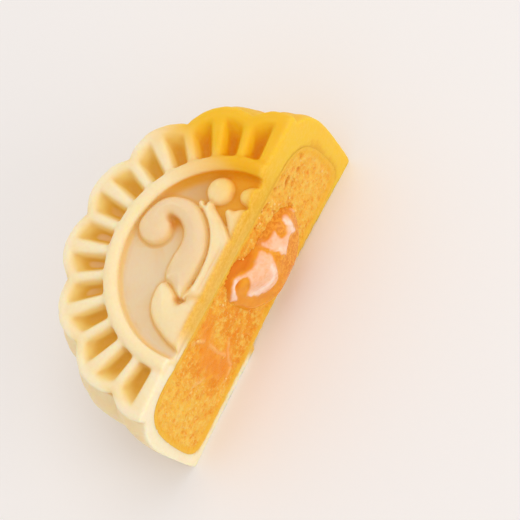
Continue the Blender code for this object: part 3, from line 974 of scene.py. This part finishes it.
# %% Masks on the cut, in millimetres along x and z
LAVA_LINE = closed_line((
    (14.3, 9.6), (13.2, 11.8), (10.4, 13.5), (6.6, 13.9), (4.2, 15.0), (2.7, 16.8), (0.9, 17.3),
    (-1.0, 16.8), (-2.2, 15.0), (-2.6, 12.6), (-2.4, 9.8), (-1.6, 6.8), (0.6, 4.7), (4.0, 4.2),
    (7.8, 4.7), (11.0, 6.2), (13.4, 8.0),
), 6)
LAVA_MIDDLE = np.array((5.5, 9.0))
SMEAR_LINE = closed_line((
    (-6.6, 17.6), (-6.8, 13.9), (-8.7, 12.4), (-9.2, 9.0), (-7.6, 8.4), (-7.6, 6.6), (-9.0, 4.9),
    (-10.3, 3.7), (-12.3, 3.9), (-13.5, 7.3), (-13.4, 10.8), (-12.6, 13.5), (-10.9, 14.8), (-9.9, 16.4),
    (-8.5, 17.5),
), 5)
STREAKS = (
    ((-14.9, 11.0), (-16.0, 11.6), (-16.9, 11.2), (-18.5, 11.6), (-20.0, 11.8), (-21.2, 11.4)),
    ((-13.3, 4.2), (-14.6, 4.4), (-15.8, 4.1), (-17.0, 4.6)),
    ((-17.5, 6.3), (-18.9, 5.2), (-20.9, 5.9)),
    ((-6.4, 13.4), (-7.5, 12.3)),
    ((9.4, 15.6), (10.7, 15.4), (10.9, 13.5), (12.6, 14.0)),
    ((15.5, 15.0), (18.0, 13.2), (19.5, 13.0)),
)
SMEAR_RIDGES = (
    ((-6.9, 8.2), (-8.2, 7.6), (-9.2, 6.6), (-9.6, 5.4), (-9.7, 4.4), (-12.1, 4.0)),
    ((-9.2, 12.9), (-9.4, 10.5), (-9.3, 9.1), (-9.2, 7.8)),
    ((-15.0, 11.6), (-14.4, 10.5), (-13.7, 9.9)),
    ((-10.6, 17.1), (-9.7, 16.2), (-9.3, 15.0)),
)


# %% Relief of the custard
# the custard reaches this far into the dough, so that no gap shows between the two
CUSTARD_GROWS = 0.35


def custard_depth(x, z):
    """How far each point of the broken face lies behind the cut, in millimetres."""
    flat = np.column_stack([x, z])
    spots = np.column_stack([x, z, z * 0])
    swell = slow_lumps(spots, 4.0, 5.0)
    lumps = slow_lumps(spots, 1.5, 15.0)
    cells = np.array([noise.voronoi(Vector((a / 0.62, b / 0.62, 0.0)))[0][0] for a, b in flat])
    fine = np.array([noise.fractal(Vector((a / 0.36, b / 0.36, 2.0)), 0.6, 2.1, 3) for a, b in flat])
    pit_field = np.array([noise.noise(Vector((a / 1.1, b / 0.9, 11.7))) for a, b in flat])
    rough = ease(x, 6.0, 11.0) * ease(z, 9.0, 14.0) * ease(x, 23.0, 19.0)
    pits = np.maximum(0, pit_field - 0.2)
    calm = 0.8 * ease(inside_line(flat, SMEAR_LINE), -0.5, 1.2)
    ridges = along_paths(flat, SMEAR_RIDGES, 0.28)
    patchy = ease(slow_lumps(spots, 2.4, 71.0), -0.35, 0.35)
    grain = (0.12 + 0.22 * patchy) * cells + 0.12 * fine
    depth = 0.14 + 0.12 * swell + 0.13 * lumps
    depth += (grain + (0.5 + 2.4 * rough) * pits) * (1 - 0.85 * calm) - 0.12 * calm - 0.16 * ridges
    # towards the dough the face comes up flush with the cut
    within = ease(inside_line(flat, bun_outline(CUSTARD_GROWS)), 0.15, 1.1)
    ragged = 0.07 * slow_lumps(spots, 0.55, 91.0) - 0.02
    depth = (depth - 0.12) * within + ragged * (1 - within)
    under_lava = ease(inside_line(flat, LAVA_LINE), 0.2, 1.2)
    return depth * (1 - under_lava) + 0.9 * under_lava


# %% The broken face as a block
FACE_WIDTH = 49.5
FACE_HEIGHT = 18.4
FACE_MIDDLE_X = -0.5
FACE_LOW = 0.9
FACE_BACK = 30.0
put_down()
bpy.ops.mesh.primitive_grid_add(x_subdivisions=420, y_subdivisions=156, size=1)
face_block = bpy.context.object
face_block.name = "custard_face"
corners = corners_of(face_block)
face_x = corners[:, 0] * FACE_WIDTH + FACE_MIDDLE_X
face_z = (corners[:, 1] + 0.5) * FACE_HEIGHT + FACE_LOW
set_corners(face_block, np.column_stack([face_x, CUT_Y + custard_depth(face_x, face_z), face_z]))
edit_all()
bpy.ops.mesh.extrude_region_move(TRANSFORM_OT_translate={"value": (0, FACE_BACK + 10, 0)})
turn_outward()
corners = corners_of(face_block)
corners[corners[:, 1] > FACE_BACK - 10, 1] = FACE_BACK
set_corners(face_block, corners)

# %% Custard from block and bun
custard = bun("custard_filling", CUSTARD_GROWS)
cut_away(custard, face_block, operation="INTERSECT")
print("custard:", triangles_of(custard), "triangles")

# %% [markdown]
# ## The custard's finish
#
# Steamed custard is a matt orange-yellow paste with paler grains; the gaps between grains are painted deeper
# orange as shade, what stands forward is painted paler as highlight and what lies back deeper as shade. Where
# the smear covers it, it is smoother, wetter and a little redder, with a painted pink sheen on its ridges.

# %% Masks on the custard
corners = corners_of(custard)
on_cut = corners[:, [0, 2]]
streaks = along_paths(on_cut, STREAKS, 0.7) * (0.6 + 0.5 * slow_lumps(corners, 1.1, 81.0))
write_masks(
    custard,
    smear=ease(inside_line(on_cut, SMEAR_LINE) + 0.9 * slow_lumps(corners, 1.1, 61.0), -1.3, 2.0),
    milky=np.clip(along_paths(on_cut, SMEAR_RIDGES, 0.32), 0, 1),
    streak=np.clip(streaks, 0, 1),
    rim=ease(inside_line(on_cut, bun_outline(0.0)), 1.3, 0.0),
    relief=(CUT_Y + 0.18 - corners[:, 1]) / 0.25,
)


# %% Custard material
def custard_finish():
    custard = Finish("custard_filling_finish")
    x = custard.axis("X")
    wet = custard.attribute("smear")
    rim = custard.attribute("rim")
    relief = custard.attribute("relief")
    crumbs = custard.grain(0.55, 5.0, 0.75)
    streaks = custard.grain(1.3, 5.0, 0.7)
    fine = custard.grain(0.16, 3.0, 0.6)
    dry = 1.0 - wet * 0.8
    loose = dry * custard.grain(2.2, 2.0).ramp(0.38, 0.58, 0.25, 1.0)
    # orange paste, paler towards both ends, with light and dark streaks
    broad = custard.grain(3.2, 2.0).ramp(0.38, 0.62)
    custard.colour = custard.blend(broad, rgb(251, 178, 60), rgb(244, 156, 42))
    ends = custard.math("MAXIMUM", x.ramp(-13.0, -18.0), x.ramp(8.0, 14.0, 0.0, 0.95))
    custard.lay(ends * 0.75, rgb(254, 197, 80))
    custard.lay(streaks.ramp(0.5, 0.61, 0.0, 0.75) * dry, rgb(254, 206, 96))
    custard.lay(streaks.ramp(0.47, 0.36, 0.0, 0.7) * dry, rgb(243, 144, 34))
    # painted light: what stands forward is painted paler as highlight, and what lies back is painted deeper
    # as shade
    custard.lay(relief.ramp(0.4, 1.4, 0.0, 0.4), rgb(255, 214, 110))
    custard.lay(relief.ramp(-0.5, -2.2, 0.0, 0.6), rgb(236, 132, 24))
    # pale grains, pulled streaks, and painted shade in the deep gaps between grains
    custard.lay(crumbs.ramp(0.54, 0.65, 0.0, 0.75) * loose, rgb(255, 224, 140))
    pulled = custard.attribute("streak") + (crumbs - 0.5) * 2.2
    custard.lay(pulled.ramp(0.2, 1.0, 0.0, 0.7), rgb(255, 212, 108))
    custard.lay(crumbs.ramp(0.44, 0.34, 0.0, 0.55) * loose, rgb(238, 138, 28))
    # golden towards the dough with painted light right at its edge to fill the groove's shade, redder under
    # the smear, and a painted pink sheen on the smear's ridges
    custard.lay((rim + (crumbs - 0.5)).ramp(0.2, 0.9, 0.0, 0.8), rgb(248, 186, 54))
    custard.lay(rim.ramp(0.9, 1.0, 0.0, 0.3), rgb(253, 198, 78))
    custard.lay(wet * 0.75, rgb(235, 134, 16))
    custard.lay(custard.attribute("milky") * 0.4, rgb(252, 196, 136))
    dull = (fine.ramp(0.35, 0.65, 0.35, 0.65) - wet * 0.15).clamped()
    custard.set(Base_Color=custard.colour, Subsurface_Weight=0.3, Subsurface_Scale=0.0006,
                Subsurface_Radius=(1.0, 0.5, 0.12), Roughness=dull, Specular_IOR_Level=0.12,
                Coat_Weight=wet * 0.06, Coat_Roughness=0.15)
    custard.bump((crumbs + fine * 0.4) * dry, 0.6, 0.0003)
    return custard.material


settle(custard, "custard", custard_finish())

# %% [markdown]
# ## The runny centre
#
# This is thick salted-egg custard, still wet. It wells out of the cut as one fat drop with a tongue at the
# upper left. Its top slopes forward to a crest that stands about 3 mm proud, and below that it curls back
# under itself. Raised pads lie on the slope with grooves between them, and are painted milky pink as
# highlight. A sphere is pressed to the drop's outline: the far half stays a round back inside the custard,
# and the near half becomes the slope.

# %% Lines of the drop
DROP_CREST = np.array(((-2.6, 0.3), (-1.0, 0.8), (0.5, 1.25), (2.0, 2.0), (4.5, 2.7), (7.0, 2.65),
                       (9.0, 2.3), (11.0, 1.9), (12.5, 1.3), (14.3, 0.4)))
PADS = [closed_line(line, 4) for line in (
    ((-2.6, 12.9), (-1.4, 14.2), (0.1, 15.5), (1.4, 14.6), (2.4, 13.2), (3.6, 12.4), (5.8, 12.4),
     (6.4, 11.3), (6.6, 9.0), (6.2, 7.0), (5.3, 4.6), (4.2, 3.8), (3.0, 4.2), (1.6, 5.7), (0.4, 7.6),
     (-0.3, 9.4), (0.0, 10.3), (0.9, 10.5), (1.6, 11.2), (1.7, 12.6), (1.2, 13.6), (0.1, 14.3),
     (-0.6, 13.8), (-1.2, 12.6), (-1.8, 11.8)),
    ((6.6, 12.6), (7.2, 12.8), (8.2, 11.7), (9.6, 11.3), (9.4, 9.2), (9.7, 8.3), (10.6, 8.0),
     (11.4, 9.2), (11.5, 10.6), (12.2, 10.9), (12.7, 10.0), (12.4, 8.0), (11.8, 5.8), (10.5, 6.6),
     (9.5, 5.9), (8.6, 5.3), (7.9, 5.2), (7.5, 7.5), (7.0, 10.0)),
    ((13.6, 10.1), (14.0, 9.6), (14.2, 8.6), (13.9, 8.1), (13.6, 8.9)),
)]
# lines along the pads' rims that are painted brighter, as highlight
BRIGHT_RIMS = (
    ((0.0, 9.4), (1.2, 7.6), (2.6, 6.2), (4.2, 5.3), (5.0, 5.8), (5.4, 7.4)),
    ((-2.0, 12.6), (-1.2, 13.9), (0.1, 15.0)),
    ((7.9, 7.6), (8.4, 6.3)),
    ((11.6, 10.4), (12.0, 8.4), (11.6, 6.6)),
)


# %% Height of the drop
# from where the camera stands, a point 1 mm proud is seen this far along x and this far down on the cut
HIDES_X = 0.289
HIDES_Z = 1.86


def soft_least(a, b, width):
    """The lesser of two values, with the corner between them rounded off."""
    share = np.clip(0.5 + 0.5 * (b - a) / width, 0, 1)
    return b + (a - b) * share - width * share * (1 - share)


def drop_height(x, z):
    """How proud of the cut the drop stands, how far inside a pad (painted milky as highlight) it lies, and
    where it is seen.
    """
    inner = np.maximum(inside_line(np.column_stack([x, z]), LAVA_LINE), 0)
    slope = np.maximum(0.4, 0.4 + 0.8 * (15.6 - 0.24 * x - z))
    crest = np.interp(x, DROP_CREST[:, 0], DROP_CREST[:, 1])
    curl = np.maximum((z - 0.9) / HIDES_Z, 0.1)
    pillow = np.sqrt(1 - (1 - np.clip(inner / 1.1, 0, 1)) ** 2)
    proud = soft_least(soft_least(slope, crest, 0.8), curl, 0.5) * pillow
    seen = np.column_stack([x + HIDES_X * proud, z - HIDES_Z * proud])
    wobble = 0.25 * slow_lumps(np.column_stack([seen, x * 0]), 0.9, 41.0)
    pad = np.max([inside_line(seen, line) for line in PADS], axis=0) + wobble
    ripple = 0.07 * slow_lumps(np.column_stack([x, z, x * 0]), 2.0, 21.0)
    wrinkle = 0.035 * slow_lumps(np.column_stack([x * 0.6 + z, z * 0.4, x * 0]), 0.5, 51.0)
    proud = proud + pillow * (0.26 * ease(pad, -0.4, 0.4) + ripple + wrinkle * ease(pad, 0, 0.4))
    return proud, pad, seen


# %% Press a sphere to the drop
DROP_INSET = 0.3
DROP_BACK = 7.5
put_down()
bpy.ops.mesh.primitive_uv_sphere_add(segments=300, ring_count=200, radius=1)
lava = bpy.context.object
lava.name = "runny_centre"
ball = corners_of(lava)
near = ball[:, 2] > 0
around = np.arctan2(ball[:, 1], ball[:, 0]) % (2 * math.pi)
share = 1 - np.arcsin(np.clip(np.abs(ball[:, 2]), 0, 1)) / (math.pi / 2)
line_angle = np.arctan2(*(LAVA_LINE - LAVA_MIDDLE).T[::-1]) % (2 * math.pi)
line_reach = np.linalg.norm(LAVA_LINE - LAVA_MIDDLE, axis=1)
order = np.argsort(line_angle)
edge = np.interp(around, line_angle[order], line_reach[order], period=2 * math.pi)
reach = edge * np.where(near, share, np.sin(share * math.pi / 2))
drop_x = LAVA_MIDDLE[0] + np.cos(around) * reach
drop_z = LAVA_MIDDLE[1] + np.sin(around) * reach
proud, pad, seen = drop_height(drop_x, drop_z)
drop_y = np.where(near, CUT_Y + DROP_INSET * ease(share, 0.9, 1.0) - proud,
                  CUT_Y + DROP_INSET + DROP_BACK * np.abs(ball[:, 2]))
set_corners(lava, np.column_stack([drop_x, drop_y, drop_z]))
take(lava)
edit_all()
turn_outward()
print("drop stands proud by", round(float(proud.max()), 2), "mm")

# %% Masks on the drop
in_groove = ease(pad, 0.0, -0.5)
deep = ease(seen[:, 1], 12.2, 14.2) * ease(seen[:, 0], -2.4, -1.0) * ease(seen[:, 0], 7.0, 3.5)
outer = ease(seen[:, 0], 5.0, 8.0) * in_groove + ease(seen[:, 1], 5.0, 2.5) * 0.4
bright = np.min([from_path(seen, path) for path in BRIGHT_RIMS], axis=0)
write_masks(
    lava,
    # painted highlight: milky pads, and brighter lines along their rims
    milky=ease(pad, -0.1, 0.35) * near,
    bright=np.exp(-(bright / 0.5) ** 2) * ease(pad, -0.1, 0.3) * near,
    deep=in_groove * deep * near,
    outer=np.clip(outer, 0, 1) * near,
)

# %% [markdown]
# ## The drop's finish
#
# The drop is orange and lets light in for a millimetre or two. It is deeper and redder where it is thin at
# its top edge. The pads are painted milky pink as highlight, brighter along some of their rims. Its skin is
# wet, so a clear coat lies over it.

# %% Runny centre material
def runny_finish():
    runny = Finish("runny_centre_finish")
    deep = runny.attribute("deep")
    milky = runny.attribute("milky")
    streaks = runny.grain(0.7, 3.0, 0.6)
    broad = runny.grain(2.4, 2.0).ramp(0.35, 0.65)
    runny.colour = runny.blend(broad, rgb(240, 160, 36), rgb(234, 146, 24))
    runny.lay(deep * 0.85, rgb(222, 118, 18))
    grainy = runny.blend(runny.grain(0.5, 4.0, 0.7).ramp(0.4, 0.66), rgb(222, 126, 16), rgb(244, 172, 56))
    runny.lay(runny.attribute("outer") * 0.8, grainy)
    # painted highlight: milky pink on the pads, and brighter still along some of their rims
    runny.lay(milky * streaks.ramp(0.3, 0.6, 0.6, 0.9), rgb(249, 196, 162))
    runny.lay(runny.attribute("bright") * streaks.ramp(0.3, 0.6, 0.5, 1.0), rgb(254, 222, 202))
    coat = deep.ramp(0.0, 0.6, 0.55, 0.03) * (milky + 0.45).clamped()
    runny.set(Base_Color=runny.colour, Subsurface_Weight=0.25, Subsurface_Scale=0.0008,
              Subsurface_Radius=(1.0, 0.45, 0.15), Roughness=deep.ramp(0.0, 1.0, 0.16, 0.5),
              Coat_Weight=coat, Coat_IOR=1.42, Coat_Roughness=0.08, Specular_IOR_Level=0.12)
    runny.bump(runny.grain(0.8, 1.0), 0.15, 0.0001)
    return runny.material


settle(lava, "lava", runny_finish())

# %% [markdown]
# ## Crumbs and beads
#
# The knife leaves pale crumbs standing on the custard, and tiny beads of fat stand beside the drop where
# small glints show; their pale colour stands in for those glints as painted highlight. Each one is a small
# ball, squashed and dented a little by noise, and they are joined into one piece.

# %% Crumbs on the cut
CRUMBS = (
    (-9.9, 16.7), (-9.5, 16.3), (-9.6, 8.1), (-6.6, 5.4), (-6.4, 6.0), (-16.7, 10.8), (-16.4, 11.3),
    (-15.5, 11.6), (-15.1, 10.6), (-14.4, 10.7), (-18.4, 16.4), (-18.7, 14.9), (-20.3, 16.4),
    (-20.7, 15.0), (-16.1, 4.9), (-15.9, 5.5), (-13.8, 4.3), (-14.4, 4.5), (-21.0, 8.7), (-21.0, 7.9),
    (-11.9, 4.2), (-3.9, 16.9), (-3.7, 14.7), (-2.9, 14.8), (-3.7, 10.1), (-4.6, 10.4), (-7.2, 12.7),
    (-17.0, 14.6), (16.3, 15.9), (16.9, 15.4), (14.9, 15.4), (17.1, 13.2), (20.1, 13.5), (18.7, 14.0),
    (15.1, 11.1), (14.5, 9.6), (21.3, 6.5), (12.2, 16.2), (17.6, 9.9), (10.5, 16.4), (11.5, 14.1),
    (9.6, 16.7), (3.1, 16.4), (3.4, 15.9), (-4.0, 17.0), (-3.7, 15.5), (8.8, 14.4), (8.1, 15.2),
    (8.3, 16.6), (10.9, 16.4), (10.7, 14.3), (14.9, 11.4), (9.0, 15.9), (12.6, 14.8), (13.1, 13.2),
    (12.0, 15.2), (19.2, 11.0),
)
BEADS = ((13.9, 9.0, 0.42), (3.3, 15.7, 0.26), (3.0, 15.5, 0.18), (-4.0, 16.8, 0.2), (-3.5, 14.8, 0.2),
         (-9.8, 16.6, 0.22))
balls = []
for x, z, *bead in CRUMBS + BEADS:
    size = bead[0] if bead else 0.08 + 0.12 * (0.5 + noise.noise(Vector((x * 1.7, z * 1.3, 4.0))))
    depth = float(custard_depth(np.array([x]), np.array([z]))[0])
    put_down()
    bpy.ops.mesh.primitive_ico_sphere_add(subdivisions=2, radius=size,
                                          location=(x, CUT_Y + min(depth, 0.5) - 0.3 * size, z))
    wide, tall = noise.noise(Vector((x, z, 1.0))), noise.noise(Vector((z, x, 2.0)))
    bpy.context.object.scale = (1.0 + 0.5 * wide, 0.8, 1.0 + 0.5 * tall)
    balls.append(bpy.context.object)
crumbs = weld(*balls)
bpy.ops.object.transform_apply(location=True, rotation=True, scale=True)
crumbs.name = "crumbs"
corners = corners_of(crumbs)
lumps = 0.07 * np.column_stack([slow_lumps(corners, 0.22, seed) for seed in (3.0, 13.0, 23.0)])
set_corners(crumbs, corners + lumps)


def crumb_finish():
    crumb = Finish("crumb_finish")
    shade = crumb.blend(crumb.grain(1.1, 2.0).ramp(0.4, 0.6), rgb(250, 190, 84), rgb(255, 216, 140))
    crumb.set(Base_Color=shade, Roughness=0.5, Specular_IOR_Level=0.12)
    crumb.bump(crumb.grain(0.12, 2.0), 0.3, 0.00005)
    return crumb.material


settle(crumbs, None, crumb_finish())

# %% [markdown]
# ## Floor, camera and light
#
# The cake lies on a plain pale floor. The camera looks down on it from the side of the cut, and is rolled so
# that the cut runs up to the right. The key light is large and comes over the +X end, and the -X end is lit
# by what the room sends back. The golden glow of the +X end is painted into the dough's colour.

# %% Floor
put_down()
bpy.ops.mesh.primitive_plane_add(size=3.0, location=(0, 0, 0))
floor = bpy.context.object
floor.name = "floor"
plate = Finish("pale_floor")
plate.set(Base_Color=rgb(243, 240, 239), Roughness=0.5, Specular_IOR_Level=0.2)
floor.data.materials.append(plate.material)

# %% Camera
# from the cake's middle, in millimetres, and turned in degrees
CAMERA_PLACE = (-33.725, -135.013, 259.922)
CAMERA_TURN = (20.1668, 21.6241, -61.2409)
LENS = 138.46
camera_data = bpy.data.cameras.new("camera")
camera_data.lens = LENS
camera_data.sensor_width = 36.0
camera_data.clip_start = 0.01
camera = bpy.data.objects.new("camera", camera_data)
bpy.context.collection.objects.link(camera)
camera.location = [(place + shift) * MM for place, shift in zip(CAMERA_PLACE, (*MIDDLE, 0.0))]
camera.rotation_euler = [math.radians(a) for a in CAMERA_TURN]
bpy.context.scene.camera = camera


# %% Lights
def soft_light(name, direction, distance, size, power, colour):
    data = bpy.data.lights.new(name, "AREA")
    data.shape = "DISK"
    data.size = size
    data.energy = power
    data.color = colour
    lamp = bpy.data.objects.new(name, data)
    bpy.context.collection.objects.link(lamp)
    towards = Vector(direction).normalized()
    lamp.location = towards * distance
    lamp.rotation_euler = towards.to_track_quat("Z", "Y").to_euler()


soft_light("key", (0.45, -0.05, 1.0), 0.6, 0.4, 0.6, (1.0, 0.98, 0.95))
soft_light("window", (0.136, -0.954, 0.267), 0.6, 0.45, 0.85, (1.0, 0.98, 0.97))
world = bpy.data.worlds.new("room")
world.use_nodes = True
background = world.node_tree.nodes["Background"]
background.inputs["Color"].default_value = (1.0, 0.975, 0.955, 1.0)
background.inputs["Strength"].default_value = 0.81
bpy.context.scene.world = world
bpy.context.scene.view_settings.view_transform = "Standard"
bpy.context.scene.view_settings.look = "None"
